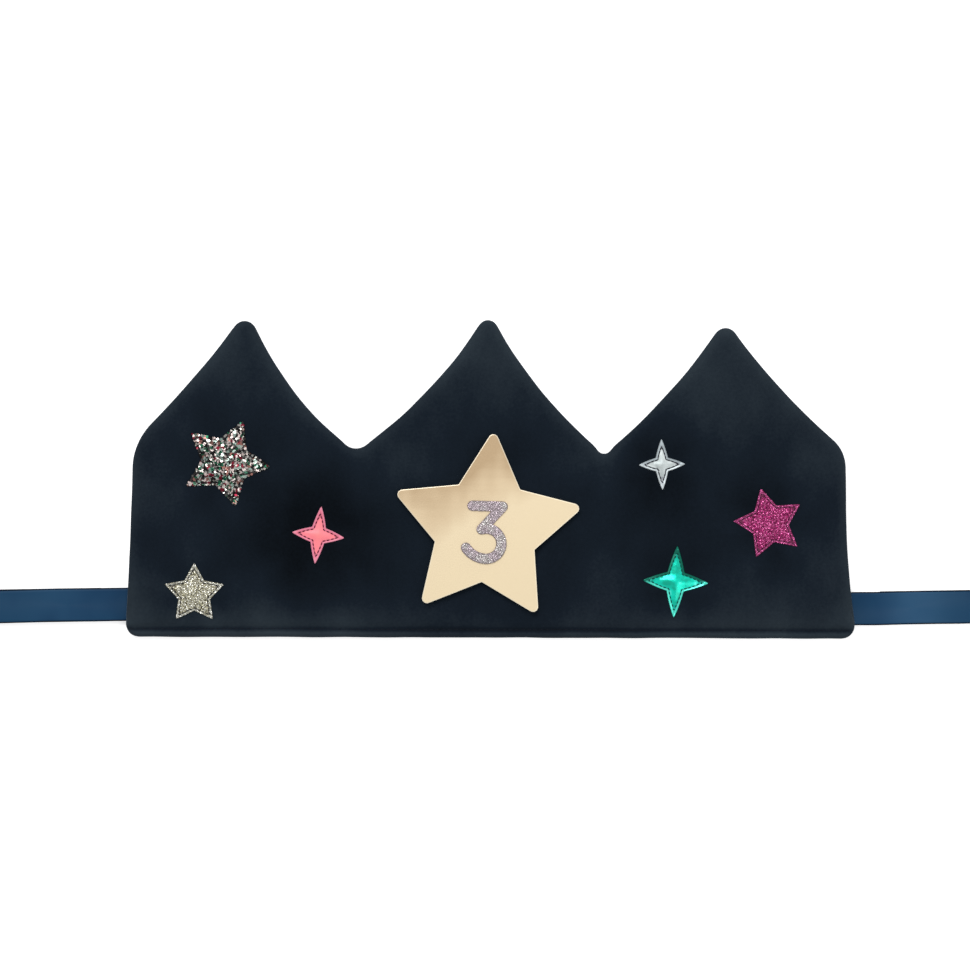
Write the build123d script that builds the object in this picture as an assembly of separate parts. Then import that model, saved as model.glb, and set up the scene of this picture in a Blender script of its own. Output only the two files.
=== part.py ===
from build123d import *
import os
from math import cos, pi, sin, sqrt

# Padded velvet birthday crown with ribbon ties, lying flat on its back.
# X runs along the hem, Y towards the points and Z up. Lengths are in millimetres, angles in degrees.
# The origin is under the middle of the crown, on the surface that it lies on.

# Crown pattern, drawn upwards from the hem
crown_width = 350.0
pattern_height = 156.3  # hem to the centre point, before the point is rounded
hem_corner_radius = 6.0
side_tip_radius = 5.4
centre_tip_radius = 4.5
left_valley_radius = 9.4
right_valley_radius = 3.8
left_shoulder_radius = 30.0
right_shoulder_radius = 16.5

# Corners round the pattern from the left end of the hem, in shares of its width and height.
# The third share is the hollow of the edge that follows, of that edge's length.
corner_shares = {
    "left_hem": (-0.500, 0.000, 0.000),
    "right_hem": (0.500, 0.000, 0.022),
    "right_shoulder": (0.486, 0.573, 0.034),
    "right_tip": (0.320, 0.976, 0.038),
    "right_valley": (0.155, 0.561, 0.053),
    "centre_tip": (-0.004, 1.000, 0.052),
    "left_valley": (-0.186, 0.564, 0.068),
    "left_tip": (-0.335, 1.002, 0.026),
    "left_shoulder": (-0.490, 0.598, 0.005),
}
corner_radii = {
    "left_hem": hem_corner_radius,
    "right_hem": hem_corner_radius,
    "right_shoulder": right_shoulder_radius,
    "right_tip": side_tip_radius,
    "right_valley": right_valley_radius,
    "centre_tip": centre_tip_radius,
    "left_valley": left_valley_radius,
    "left_tip": side_tip_radius,
    "left_shoulder": left_shoulder_radius,
}

# Padding and sewing
padded_thickness = 8.0
seam_height = 3.2  # side seam above the surface that the crown lies on
fabric_thickness = 1.0
seam_allowance = 10.0  # turned in all round, inside the seam
seam_crease = 0.5
hem_channel = 4.0  # topstitch line above the hem edge
front_round_share = 0.7  # rounding of the padded front edge, of the panel's rise
back_bevel_share = 0.32  # bevel of the back edge, which is pressed flatter
channel_depth_share = 0.38  # how far the topstitching sinks in, of the panel's rise
tip_round_limit_share = 0.8
bevel_share = 2 - sqrt(2)  # flat bevel that touches a rounding, of that rounding's radius

# Ribbon ties: caught in the side seams, then folded back under themselves
ribbon_width = 16.0
ribbon_thickness = 0.4
ribbon_layers = 6
ribbon_reach = 65.0  # outer fold beyond the end of the hem
ribbon_standoff = 12.0  # inner folds beyond the end of the hem
ribbon_tilt = 1.1
left_ribbon_height = 15.2  # middle of the ribbon above the hem
right_ribbon_height = 14.2

# Appliques, with a sewn line just inside their edges
applique_thickness = 0.9
stitch_inset = 1.6
stitch_width = 0.5
stitch_depth = 0.3
star_points = 5
sparkle_points = 4

# Sewn stars: place in shares of the pattern, outer radius, inner radius share, clockwise turn
multicolour_radius = 21.8
gold_radius = 15.0
magenta_radius = 17.4
star_inner_share = 0.53
multicolour_turn = 23.0
gold_turn = 0.0
magenta_turn = -14.4
multicolour_place_shares = (-0.363, 0.533)
gold_place_shares = (-0.405, 0.131)
magenta_place_shares = (0.380, 0.352)

# Four-pointed sparkles: long upright arms, shorter cross arms, edges that swell a little
pink_radius = 14.1
silver_radius = 12.5
green_radius = 17.5
sparkle_inner_share = 0.365
sparkle_cross_share = 0.91
sparkle_swell_share = 0.045
pink_turn = 6.3
silver_turn = -1.5
green_turn = 2.7
pink_place_shares = (-0.236, 0.312)
silver_place_shares = (0.233, 0.531)
green_place_shares = (0.252, 0.173)

# Number star on its fastener patches
number_star_radius = 48.4
number_star_inner_share = 0.519
number_star_thickness = 2.0
number_star_tip_radius = 2.4
number_star_edge_bevel = 0.4
number_star_turn = 4.5
number_place_shares = (-0.007, 0.331)
patch_length = 42.0
patch_width = 18.0
patch_thickness = 1.0

# Numeral three: flat bar, slanting stroke, round bowl and a tail that opens out, with round stroke ends
numeral_thickness = 0.8
numeral_height = 30.0
numeral_stroke = 4.9
numeral_turn = 1.6
numeral_shift_shares = (-0.030, -0.046)  # middle of the numeral from the star's, of its height
bar_left_share = -0.196  # ends of the flat bar from the middle, of the height
bar_right_share = 0.284
bowl_radius = 7.2  # middle of the stroke
bowl_across_share = 0.042
bowl_start = 110.0  # from the right, anticlockwise
bowl_sweep = -200.0
tail_radius = 11.7
tail_sweep = -55.0

overrun = 5.0

front_rise = padded_thickness - seam_height
back_drop = seam_height


def share_point(u_share, v_share):
    return Vector(u_share * crown_width, v_share * pattern_height)


def nearest_vertex(shape, point):
    return min(shape.vertices(), key=lambda v: (Vector(v.X, v.Y) - point).length)


def crown_outline():
    """Pattern with hollow edges and rounded corners, hem on the X axis."""
    corners = {name: share_point(u, v) for name, (u, v, hollow) in corner_shares.items()}
    names = list(corners)
    edges = []
    for name, following in zip(names, names[1:] + names[:1]):
        start = corners[name]
        end = corners[following]
        hollow = corner_shares[name][2] * (end - start).length
        edges.append(SagittaArc(start, end, hollow) if hollow else Line(start, end))
    outline = make_face(edges)
    for name in names:
        outline = fillet(nearest_vertex(outline, corners[name]), corner_radii[name])
    return outline


outline = crown_outline()
outline_box = outline.bounding_box()
centring = Location((0, -outline_box.center().Y, 0))


def inset(face, distance):
    """Smaller copy of a face, with each edge redrawn as a true line or arc."""
    edges = []
    for edge in offset(face, -distance, kind=Kind.INTERSECTION).edges():
        is_line = edge.geom_type == GeomType.LINE
        edges.append(Line(edge @ 0, edge @ 1) if is_line else ThreePointArc(edge @ 0, edge @ 0.5, edge @ 1))
    return make_face(edges)


def band(low, high):
    """Rectangle as wide as the crown, between two heights above the hem."""
    middle = (low + high) / 2
    return Pos(0, middle) * Rectangle(crown_width + 2 * overrun, high - low)


def upper_edges(solid):
    return solid.edges().group_by(Axis.Z)[-1]


def pad(face, height, edge_size=0.0, soften=chamfer):
    """Face raised to a pad, its upper edge bevelled or rounded where that has a size."""
    solid = extrude(face, height)
    return soften(upper_edges(solid), edge_size) if edge_size else solid


wadding_bottom = max(hem_channel + stitch_width, hem_corner_radius) + fabric_thickness
wadded_area = inset(outline, fabric_thickness) & band(wadding_bottom, pattern_height)
inside_allowance = inset(outline, seam_allowance)


def channel_groove(rise):
    """Groove that the topstitching pulls into a panel, with a soft swell on both sides of it."""
    swell = channel_depth_share * rise
    half_width = swell + stitch_width / 2
    profile = Pos(0, -swell) * Rectangle(2 * half_width, swell + overrun, align=(Align.CENTER, Align.MIN))
    for side in (-half_width, half_width):
        profile -= Pos(side, -swell) * Circle(swell)
    across = Plane((-crown_width / 2 - overrun, hem_channel, rise), x_dir=(0, 1, 0), z_dir=(1, 0, 0))
    return extrude(across * profile, crown_width + 2 * overrun)


def panel_half(rise, edge_size, soften, room_bevel=0.0):
    """One fabric panel and the room for wadding under it, seam at Z zero and bulging up."""
    panel = pad(outline, rise, edge_size, soften)
    rim = panel.faces().sort_by(Axis.Z)[0].outer_wire().edges()
    panel = chamfer(rim, seam_crease) - channel_groove(rise)
    room = Pos(0, 0, fabric_thickness) * pad(wadded_area, rise - 2 * fabric_thickness, room_bevel)
    room += extrude(inside_allowance, fabric_thickness)
    return panel - room, room


def ribbon_pitch():
    """Step between folded layers: the lowest lies on the surface, the top one leaves the seam."""
    return (seam_height - ribbon_thickness / 2) / (ribbon_layers - 1)


def ribbon_section():
    """Side view of a right-hand tie: along X from the end of the hem, Z from the surface."""
    pitch = ribbon_pitch()
    bend = pitch / 2
    outer = ribbon_reach - bend - ribbon_thickness / 2
    inner = ribbon_standoff + bend + ribbon_thickness / 2
    section = Sketch()
    for layer in range(ribbon_layers):
        height = seam_height - layer * pitch
        start = inner if layer else -seam_allowance
        middle = Pos((start + outer) / 2, height)
        section += middle * Rectangle(outer - start, ribbon_thickness)
        if layer + 1 < ribbon_layers:
            at_outer_end = layer % 2 == 0
            fold = Pos(outer if at_outer_end else inner, height - bend)
            ring = Circle(bend + ribbon_thickness / 2) - Circle(bend - ribbon_thickness / 2)
            side = Align.MIN if at_outer_end else Align.MAX
            section += fold * (ring & Rectangle(pitch * 2, pitch * 2, align=(side, Align.CENTER)))
    return section


def ribbon(side, height):
    """Tie and the slot that its sewn end takes up in the seam; side is 1 for right, -1 for left."""
    end_of_hem = Location((side * crown_width / 2, height, 0), (0, 0, ribbon_tilt))
    upright = Plane.XZ.offset(-ribbon_width / 2)
    tie = extrude(upright * ribbon_section(), ribbon_width)
    slot_length = seam_allowance + overrun
    slot = Box(slot_length, ribbon_width, ribbon_thickness, align=(Align.MIN, Align.CENTER, Align.CENTER))
    slot = Pos(-seam_allowance, 0, seam_height) * slot
    if side < 0:
        tie = mirror(tie, about=Plane.YZ)
        slot = mirror(slot, about=Plane.YZ)
    return end_of_hem * tie, end_of_hem * slot


def star_face(points, outer, inner, cross_share=1.0, swell=0.0):
    """Star with one arm up; cross_share shortens it sideways, swell bows its edges out."""
    tips = []
    for step in range(2 * points):
        reach = inner if step % 2 else outer
        angle = pi / 2 - pi * step / points
        tips.append(Vector(reach * cos(angle) * cross_share, reach * sin(angle)))
    edges = []
    for start, end in zip(tips, tips[1:] + tips[:1]):
        bow = swell * (end - start).length
        edges.append(SagittaArc(start, end, bow) if bow else Line(start, end))
    return make_face(edges)


def applique(face, sewn_face, place_shares, turn):
    """Thin sewn-on shape with a sunken stitch line inside the sewn face, seated on the front panel."""
    body = extrude(face, applique_thickness)
    sewn_line = inset(sewn_face, stitch_inset) - inset(sewn_face, stitch_inset + stitch_width)
    body -= Pos(0, 0, applique_thickness - stitch_depth) * extrude(sewn_line, stitch_depth)
    place = share_point(*place_shares)
    return Location((place.X, place.Y, padded_thickness), (0, 0, -turn)) * body


def sewn_star(radius, place_shares, turn):
    face = star_face(star_points, radius, star_inner_share * radius)
    return applique(face, face, place_shares, turn)


def sparkle(radius, place_shares, turn):
    """Four-pointed shape with bowed edges, sewn in straight lines from corner to corner."""
    inner = sparkle_inner_share * radius
    sewn_face = star_face(sparkle_points, radius, inner, sparkle_cross_share)
    face = star_face(sparkle_points, radius, inner, sparkle_cross_share, sparkle_swell_share)
    return applique(face, sewn_face, place_shares, turn)


def number_place(level, turn=number_star_turn):
    """Middle of the number star at a level above the front panel, turned clockwise."""
    place = share_point(*number_place_shares)
    return Location((place.X, place.Y, padded_thickness + level), (0, 0, -turn))


def number_star():
    inner = number_star_inner_share * number_star_radius
    face = star_face(star_points, number_star_radius, inner)
    tips = face.vertices().sort_by(lambda v: -Vector(v.X, v.Y).length)[:star_points]
    face = fillet(tips, number_star_tip_radius)
    plate = extrude(face, number_star_thickness)
    return chamfer(upper_edges(plate), number_star_edge_bevel)


def patch():
    return extrude(Rectangle(patch_length, patch_width), patch_thickness)


def numeral_three():
    half_stroke = numeral_stroke / 2
    bar_level = numeral_height / 2 - half_stroke
    bar_left = Vector(bar_left_share * numeral_height, bar_level)
    bar_right = Vector(bar_right_share * numeral_height, bar_level)
    bowl_middle = Vector(bowl_across_share * numeral_height, bowl_radius - bar_level)
    bowl = CenterArc(bowl_middle, bowl_radius, bowl_start, bowl_sweep)
    tail = JernArc(bowl @ 1, bowl % 1, tail_radius, tail_sweep)
    face = SlotArc(bowl, numeral_stroke) + SlotArc(tail, numeral_stroke)
    for start, end in ((bar_left, bar_right), (bar_right, bowl @ 0)):
        face += SlotCenterPoint((start + end) / 2, end, numeral_stroke)
    shift = Vector(*numeral_shift_shares) * numeral_height
    return Pos(shift.X, shift.Y) * extrude(face, numeral_thickness)


smallest_tip = min(side_tip_radius, centre_tip_radius)
front_radius = min(front_round_share * front_rise, tip_round_limit_share * smallest_tip)
wadding_bevel = bevel_share * (front_radius - fabric_thickness)
front_half, front_room = panel_half(front_rise, front_radius, fillet, wadding_bevel)
back_half, back_room = panel_half(back_drop, back_bevel_share * back_drop, chamfer)
back_half = mirror(back_half, about=Plane.XY)
back_room = mirror(back_room, about=Plane.XY)
at_seam = Pos(0, 0, seam_height)
left_ribbon, left_slot = ribbon(-1, left_ribbon_height)
right_ribbon, right_slot = ribbon(1, right_ribbon_height)
slots = left_slot + right_slot
hook_level = patch_thickness
star_level = hook_level + patch_thickness
numeral_level = star_level + number_star_thickness

pieces = {
    "front_panel": at_seam * front_half - slots,
    "back_panel": at_seam * back_half - slots,
    "wadding": at_seam * (front_room + back_room),
    "left_ribbon": left_ribbon,
    "right_ribbon": right_ribbon,
    "loop_patch": number_place(0) * patch(),
    "hook_patch": number_place(hook_level) * patch(),
    "number_star": number_place(star_level) * number_star(),
    "numeral_three": number_place(numeral_level, numeral_turn) * numeral_three(),
    "glitter_star_multicolour": sewn_star(multicolour_radius, multicolour_place_shares, multicolour_turn),
    "glitter_star_gold": sewn_star(gold_radius, gold_place_shares, gold_turn),
    "glitter_star_magenta": sewn_star(magenta_radius, magenta_place_shares, magenta_turn),
    "sparkle_pink": sparkle(pink_radius, pink_place_shares, pink_turn),
    "sparkle_silver": sparkle(silver_radius, silver_place_shares, silver_turn),
    "sparkle_green": sparkle(green_radius, green_place_shares, green_turn),
}

os.makedirs("parts", exist_ok=True)
for node, piece in pieces.items():
    export_step(centring * piece, f"parts/{node}.step")
    print(node, round(piece.volume, 1), len(piece.solids()))
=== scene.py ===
import bpy
import math
from collections import Counter, defaultdict
import numpy as np
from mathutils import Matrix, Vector, noise
from mathutils.bvhtree import BVHTree
from mathutils.geometry import delaunay_2d_cdt


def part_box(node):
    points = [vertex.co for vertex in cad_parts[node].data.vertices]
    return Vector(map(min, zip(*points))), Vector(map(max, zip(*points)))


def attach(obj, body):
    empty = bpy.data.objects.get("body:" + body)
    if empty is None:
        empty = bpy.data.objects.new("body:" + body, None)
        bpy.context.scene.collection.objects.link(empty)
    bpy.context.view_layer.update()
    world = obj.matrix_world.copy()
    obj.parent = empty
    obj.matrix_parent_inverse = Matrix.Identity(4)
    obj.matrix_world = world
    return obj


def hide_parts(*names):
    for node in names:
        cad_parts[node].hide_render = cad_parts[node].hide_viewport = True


# Birthday crown: padded navy velvet, satin ties, sewn-on stars and a number star
# Sizes below are in mm and are turned into metres where a mesh is made

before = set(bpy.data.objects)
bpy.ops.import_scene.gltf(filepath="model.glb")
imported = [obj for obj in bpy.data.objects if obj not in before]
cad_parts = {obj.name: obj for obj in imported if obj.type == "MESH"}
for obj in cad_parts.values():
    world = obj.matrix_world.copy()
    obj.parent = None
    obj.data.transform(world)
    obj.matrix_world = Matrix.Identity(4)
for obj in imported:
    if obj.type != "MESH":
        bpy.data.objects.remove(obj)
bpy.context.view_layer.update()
scene = bpy.context.scene
mm = 0.001
fine = 0.01  # a packed point this close to a level lies on it
rayStart = 50  # rays that feel for a surface start this far off
borderReach = 4.0  # borders of sheets are drawn on this scale
outlines = {
    "corner": 25,  # degrees that an outline turns by at a corner
    "uneven": 2.5,  # an edge this many times longer than the next one stays straight
    "perMm": 4,  # points that a smooth line is worked out with
    "clear": 0.6,  # room round the points of a net, in steps
    "rimShare": 0.5,  # share of that room along the rim
}


# Flat outlines

def nodeLoop(node, level=None):
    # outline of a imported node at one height, or at its lowest, anticlockwise
    if level is None:
        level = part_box(node)[0].z / mm
    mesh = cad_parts[node].data
    spots = [tuple(round(c / mm, 3) for c in v.co) for v in mesh.vertices]
    touching = Counter()
    inPlane = Counter()
    for face in mesh.polygons:
        corners = [spots[i] for i in face.vertices]
        onLevel = [abs(corner[2] - level) < fine for corner in corners]
        for i, k in ((0, 1), (1, 2), (2, 0)):
            edge = frozenset((corners[i][:2], corners[k][:2]))
            if onLevel[i] and onLevel[k] and len(edge) == 2:
                touching[edge] += 1
                inPlane[edge] += all(onLevel)
    beside = defaultdict(list)
    for edge in touching:
        if inPlane[edge] < 2:
            start, end = sorted(edge)
            beside[start].append(end)
            beside[end].append(start)
    loops = []
    while beside:
        loop = [min(beside)]
        spot = beside[loop[0]][0]
        while spot != loop[0]:
            loop.append(spot)
            spot = [p for p in beside[spot] if p != loop[-2]][0]
        for spot in loop:
            del beside[spot]
        loops.append(np.array(loop))
    longest = max(loops, key=lambda loop: np.ptp(loop, axis=0).sum())
    return longest if loopArea(longest) > 0 else longest[::-1]


def loopArea(loop):
    ahead = np.roll(loop, -1, axis=0)
    return float((loop[:, 0] * ahead[:, 1] - ahead[:, 0] * loop[:, 1]).sum() / 2)


def smoothRun(points, step, closed=False):
    # smooth line through the points, divided evenly, without its last point
    line = np.array(points, float)
    if closed:
        line = np.vstack([line, line[:1]])
    chords = np.linalg.norm(np.diff(line, axis=0), axis=1)
    slopes = np.diff(line, axis=0) / chords[:, None]
    first, last = (-1, 0) if closed else (0, -1)
    before = np.vstack([slopes[first], slopes])
    after = np.vstack([slopes, slopes[last]])
    chordBefore = np.append(chords[first], chords)[:, None]
    chordAfter = np.append(chords, chords[last])[:, None]
    bend = (before * chordAfter + after * chordBefore) / (chordBefore + chordAfter)
    longer = np.where(chordBefore > chordAfter, before, after)
    shorter = np.minimum(chordBefore, chordAfter)
    uneven = np.maximum(chordBefore, chordAfter) > outlines["uneven"] * shorter
    tangents = np.where(uneven, longer, bend)
    pieces = []
    for i, chord in enumerate(chords):
        t = np.linspace(0, 1, max(2, int(outlines["perMm"] * chord)), endpoint=False)[:, None]
        ease = t * t * (3 - 2 * t)
        leave = chord * t * (1 - t) ** 2
        arrive = chord * t * t * (1 - t)
        between = line[i] * (1 - ease) + line[i + 1] * ease
        pieces.append(between + tangents[i] * leave - tangents[i + 1] * arrive)
    dense = np.vstack(pieces + [line[-1:]])
    along = np.append(0, np.cumsum(np.linalg.norm(np.diff(dense, axis=0), axis=1)))
    places = np.linspace(0, along[-1], max(1, round(along[-1] / step)), endpoint=False)
    return np.column_stack([np.interp(places, along, dense[:, k]) for k in range(dense.shape[1])])


def loopCorners(loop):
    # places in a loop where it turns sharply
    ahead = np.roll(loop, -1, axis=0) - loop
    heading = np.arctan2(ahead[:, 1], ahead[:, 0])
    turn = np.degrees((heading - np.roll(heading, 1) + math.pi) % (2 * math.pi) - math.pi)
    return np.nonzero(abs(turn) > outlines["corner"])[0]


def evenLoop(loop, step):
    # even points round a loop that keep its sharp corners
    corners = loopCorners(loop)
    if not len(corners):
        return smoothRun(loop, step, closed=True)
    loop = np.roll(loop, -corners[0], axis=0)
    corners = corners - corners[0]
    runs = []
    for start, end in zip(corners, np.append(corners[1:], len(loop))):
        run = np.take(loop, range(start, end + 1), axis=0, mode="wrap")
        runs.append(smoothRun(run, step))
    return np.vstack(runs)


def insetLoop(loop, distance):
    ahead = np.roll(loop, -1, axis=0) - loop
    ahead = ahead / np.linalg.norm(ahead, axis=1)[:, None]
    inward = np.column_stack([-ahead[:, 1], ahead[:, 0]])
    other = np.roll(inward, 1, axis=0)
    return loop + distance * (inward + other) / (1 + (inward * other).sum(1))[:, None]


def edgeGap(points, loop):
    # how far flat points are from a closed line
    ahead = np.roll(loop, -1, axis=0) - loop
    lengths = (ahead ** 2).sum(1)
    gaps = []
    for block in np.array_split(points, max(1, len(points) // 500)):
        reach = block[:, None] - loop[None]
        share = np.clip((reach * ahead).sum(2) / lengths, 0, 1)
        gaps.append(np.linalg.norm(reach - share[..., None] * ahead, axis=2).min(1))
    return np.concatenate(gaps)


def insideLoop(points, loop):
    ahead = np.roll(loop, -1, axis=0)
    inside = np.zeros(len(points), bool)
    for (x1, y1), (x2, y2) in zip(loop, ahead):
        if y1 == y2:
            continue
        crosses = (points[:, 1] < y1) != (points[:, 1] < y2)
        inside ^= crosses & (points[:, 0] < x1 + (points[:, 1] - y1) / (y2 - y1) * (x2 - x1))
    return inside


def spotGap(points, spots):
    # how far flat points are from the nearest of some spots
    return np.array([np.linalg.norm(spots - point, axis=1).min() for point in points])


def netInside(loop, step, extra=None):
    # triangular net of points inside a loop, with room left round extra points
    room = outlines["clear"] * step
    low, high = loop.min(0), loop.max(0)
    rowStep = step * math.sqrt(3) / 2
    rows = []
    for row in range(int((high[1] - low[1]) / rowStep) + 1):
        x = np.arange(low[0] + row % 2 * step / 2, high[0], step)
        rows.append(np.column_stack([x, np.full(len(x), low[1] + row * rowStep)]))
    net = np.vstack(rows)
    if extra is not None:
        net = np.vstack([extra, net[spotGap(net, extra) > room]])
    net = net[insideLoop(net, loop)]
    return net[edgeGap(net, loop) > room * outlines["rimShare"]]


def capFaces(loop, net):
    flat = [Vector(p) for p in loop] + [Vector(p) for p in net]
    count = len(loop)
    edges = [(i, (i + 1) % count) for i in range(count)]
    result = delaunay_2d_cdt(flat, edges, [], 1, 1e-6)
    source = [places[0] for places in result[3]]
    return [[source[i] for i in face] for face in result[2]]


def ringFaces(count, rings):
    faces = []
    for ring in range(rings - 1):
        for i in range(count):
            k = (i + 1) % count
            low, high = ring * count, (ring + 1) * count
            faces.append([low + i, low + k, high + k, high + i])
    return faces


def ringCap(loop, insets, step, extra=None):
    # rings of quads along the edge, then a triangle net: flat points and faces
    rings = [insetLoop(loop, inset) for inset in insets]
    net = netInside(rings[-1], step, extra)
    count = len(loop)
    start = count * (len(rings) - 1)
    faces = ringFaces(count, len(rings))
    faces += [[start + i for i in face] for face in capFaces(rings[-1], net)]
    return np.vstack(rings + [net]), faces


def setRings(values, count, ringValues):
    # the first rings of a cap take values of their own
    for ring, value in enumerate(ringValues):
        values[ring * count:(ring + 1) * count] = value
    return values


def underFaces(faces, count, shift):
    # faces of an underside that shares the first ring with the top
    return [[i if i < count else i + shift for i in face][::-1] for face in faces]


# Pieces

def makePiece(name, points, faces, material=None, sharp=None):
    mesh = bpy.data.meshes.new(name)
    mesh.from_pydata([Vector(p) * mm for p in points], [], faces)
    mesh.validate()
    mesh.shade_smooth()
    if sharp:
        mesh.set_sharp_from_angle(angle=math.radians(sharp))
    if material:
        mesh.materials.append(material)
    piece = bpy.data.objects.new(name, mesh)
    scene.collection.objects.link(piece)
    return piece


def finishMesh(piece):
    # turn what the modifiers give into a plain mesh
    bpy.context.view_layer.update()
    shown = piece.evaluated_get(bpy.context.evaluated_depsgraph_get())
    mesh = bpy.data.meshes.new_from_object(shown)
    mesh.name = piece.name
    piece.modifiers.clear()
    piece.data = mesh
    return piece


def storeValues(piece, name, values):
    layer = piece.data.attributes.new(name, "FLOAT", "POINT")
    layer.data.foreach_set("value", np.asarray(values, np.float32))


def place(piece, slot, *nodes):
    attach(piece, "root")
    if nodes:
        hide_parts(*nodes)
    return piece


def surfaceOf(piece, side=1):
    # gives the heights of a piece at flat points, seen from above, or from below when side is -1
    mesh = piece.data
    points = [v.co / mm for v in mesh.vertices]
    tree = BVHTree.FromPolygons(points, [p.vertices[:] for p in mesh.polygons])
    way = Vector((0, 0, -side))

    def heights(flat):
        return np.array([tree.ray_cast(Vector((x, y, rayStart * side)), way)[0].z for x, y in flat])

    return heights


def middleOf(node):
    low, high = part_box(node)
    return (low + high) / 2


def softStep(value):
    value = np.clip(value, 0, 1)
    return value * value * (3 - 2 * value)


def bell(value):
    return np.exp(-value ** 2)


def ripple(x, y, size, seed):
    return noise.noise(Vector((x / size, y / size, seed)))


def ripples(flat, waves):
    # waves have a strength, a size and a seed
    total = np.zeros(len(flat))
    for strength, size, seed in waves:
        total += strength * np.array([ripple(x, y, size, seed) for x, y in flat])
    return total


# Materials

def srgb(red, green, blue):
    # screen colour, 0 to 255, as the linear colour that a shader takes
    shares = [c / 255 for c in (red, green, blue)]
    return tuple(c / 12.92 if c <= 0.04045 else ((c + 0.055) / 1.055) ** 2.4 for c in shares) + (1.0,)


def grey(level):
    return (level, level, level, 1)


def add(tree, kind, inputs=None, **settings):
    node = tree.nodes.new(kind)
    for key, value in settings.items():
        setattr(node, key, value)
    for key, value in (inputs or {}).items():
        if isinstance(value, bpy.types.NodeSocket):
            tree.links.new(value, node.inputs[key])
        else:
            node.inputs[key].default_value = value
    return node


socketNames = {
    "colour": "Base Color", "metallic": "Metallic", "roughness": "Roughness",
    "specular": "Specular IOR Level", "sheen": "Sheen Weight", "sheenRoughness": "Sheen Roughness",
    "sheenTint": "Sheen Tint", "coat": "Coat Weight", "coatRoughness": "Coat Roughness",
    "anisotropy": "Anisotropic",
}


def startMaterial(name, **sockets):
    material = bpy.data.materials.new(name)
    material.use_nodes = True
    tree = material.node_tree
    for key, value in sockets.items():
        tree.nodes["Principled BSDF"].inputs[socketNames[key]].default_value = value
    return material, tree


def dressed(material, colour, height=None, distance=0.0, strength=0.0):
    # material with its colour and, where a height is given, its bump
    tree = material.node_tree
    shader = tree.nodes["Principled BSDF"]
    tree.links.new(colour, shader.inputs["Base Color"])
    if height:
        bump = add(tree, "ShaderNodeBump", {
            "Height": height, "Distance": distance * mm, "Strength": strength})
        tree.links.new(bump.outputs[0], shader.inputs["Normal"])
    return material


def attribute(tree, name):
    return add(tree, "ShaderNodeAttribute", attribute_name=name).outputs["Fac"]


def objectSpot(tree):
    return add(tree, "ShaderNodeTexCoord").outputs["Object"]


def objectNoise(tree, scale, detail=3.0, stretch=(1, 1, 1)):
    turn = add(tree, "ShaderNodeMapping", {"Vector": objectSpot(tree), "Scale": stretch})
    texture = add(tree, "ShaderNodeTexNoise", {"Vector": turn.outputs[0], "Scale": scale, "Detail": detail})
    return texture.outputs["Fac"]


def ramp(tree, factor, stops, how="EASE"):
    node = add(tree, "ShaderNodeValToRGB", {"Fac": factor})
    node.color_ramp.interpolation = how
    elements = node.color_ramp.elements
    while len(elements) < len(stops):
        elements.new(0.5)
    for element, (position, colour) in zip(elements, stops):
        element.position = position
        element.color = colour
    return node.outputs["Color"]


def mixColour(tree, factor, first, second, how="MIX"):
    inputs = {0: factor, 6: first, 7: second}
    return add(tree, "ShaderNodeMix", inputs, data_type="RGBA", blend_type=how).outputs[2]


def math2(tree, how, first, second=0.0):
    return add(tree, "ShaderNodeMath", {0: first, 1: second}, operation=how).outputs[0]


def velvetMaterial():
    # pressed pile is nearly black, brushed pile is a greyer blue; the pile tone also carries painted sheen
    # and painted shade
    material, tree = startMaterial(
        "navyVelvet", roughness=0.95, specular=0.06, sheen=0.7, sheenRoughness=0.3,
        sheenTint=srgb(158, 172, 188))
    brushed = objectNoise(tree, 58, 2.5, stretch=(1, 0.55, 1))
    tone = attribute(tree, "pileLieAndLight")
    for pattern, strength in ((brushed, 0.36), (objectNoise(tree, 700), 0.22)):
        swing = math2(tree, "MULTIPLY", math2(tree, "SUBTRACT", pattern, 0.5), strength)
        tone = math2(tree, "ADD", tone, swing)
    colour = ramp(tree, tone, (
        (0.0, srgb(5, 9, 14)), (0.5, srgb(19, 27, 36)), (1.0, srgb(44, 53, 60))), "LINEAR")
    tufts = math2(tree, "ADD", objectNoise(tree, 2600, 2.0), brushed)
    return dressed(material, colour, tufts, 0.25, 0.6)


def satinMaterial():
    # painted sheen in patches and where the tie would bend, painted shadow beside the crown, darker
    # selvedges
    material, tree = startMaterial("blueSatin", roughness=0.5, specular=0.1, anisotropy=0.6)
    weave = add(tree, "ShaderNodeUVMap", uv_map="ribbonWeave").outputs[0]
    parts = add(tree, "ShaderNodeSeparateXYZ", {0: weave})
    # painted sheen in soft patches
    sheenClouds = objectNoise(tree, 40, 2.0, stretch=(1, 0.6, 1))
    colour = ramp(tree, sheenClouds, ((0.36, srgb(18, 52, 82)), (0.66, srgb(27, 62, 91))))
    colour = mixColour(tree, attribute(tree, "paintedBendSheen"), colour, srgb(62, 102, 136))
    # painted shadow of the crown on the first part of the tie
    crownShadow = ramp(tree, parts.outputs[0], ((0.0, grey(0.45)), (0.22, grey(0))))
    colour = mixColour(tree, crownShadow, colour, srgb(9, 34, 56))
    fromMiddle = math2(tree, "ABSOLUTE", math2(tree, "SUBTRACT", parts.outputs[1], 0.5))
    selvedge = ramp(tree, fromMiddle, ((0.452, grey(0)), (0.475, grey(1))))
    colour = mixColour(tree, selvedge, colour, srgb(8, 22, 38))
    lines = add(tree, "ShaderNodeMapping", {"Vector": weave, "Scale": (1200, 90, 1)})
    threads = add(tree, "ShaderNodeTexNoise", {"Vector": lines.outputs[0], "Scale": 1.0, "Detail": 1.0})
    return dressed(material, colour, threads.outputs["Fac"], 0.05, 0.35)


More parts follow.
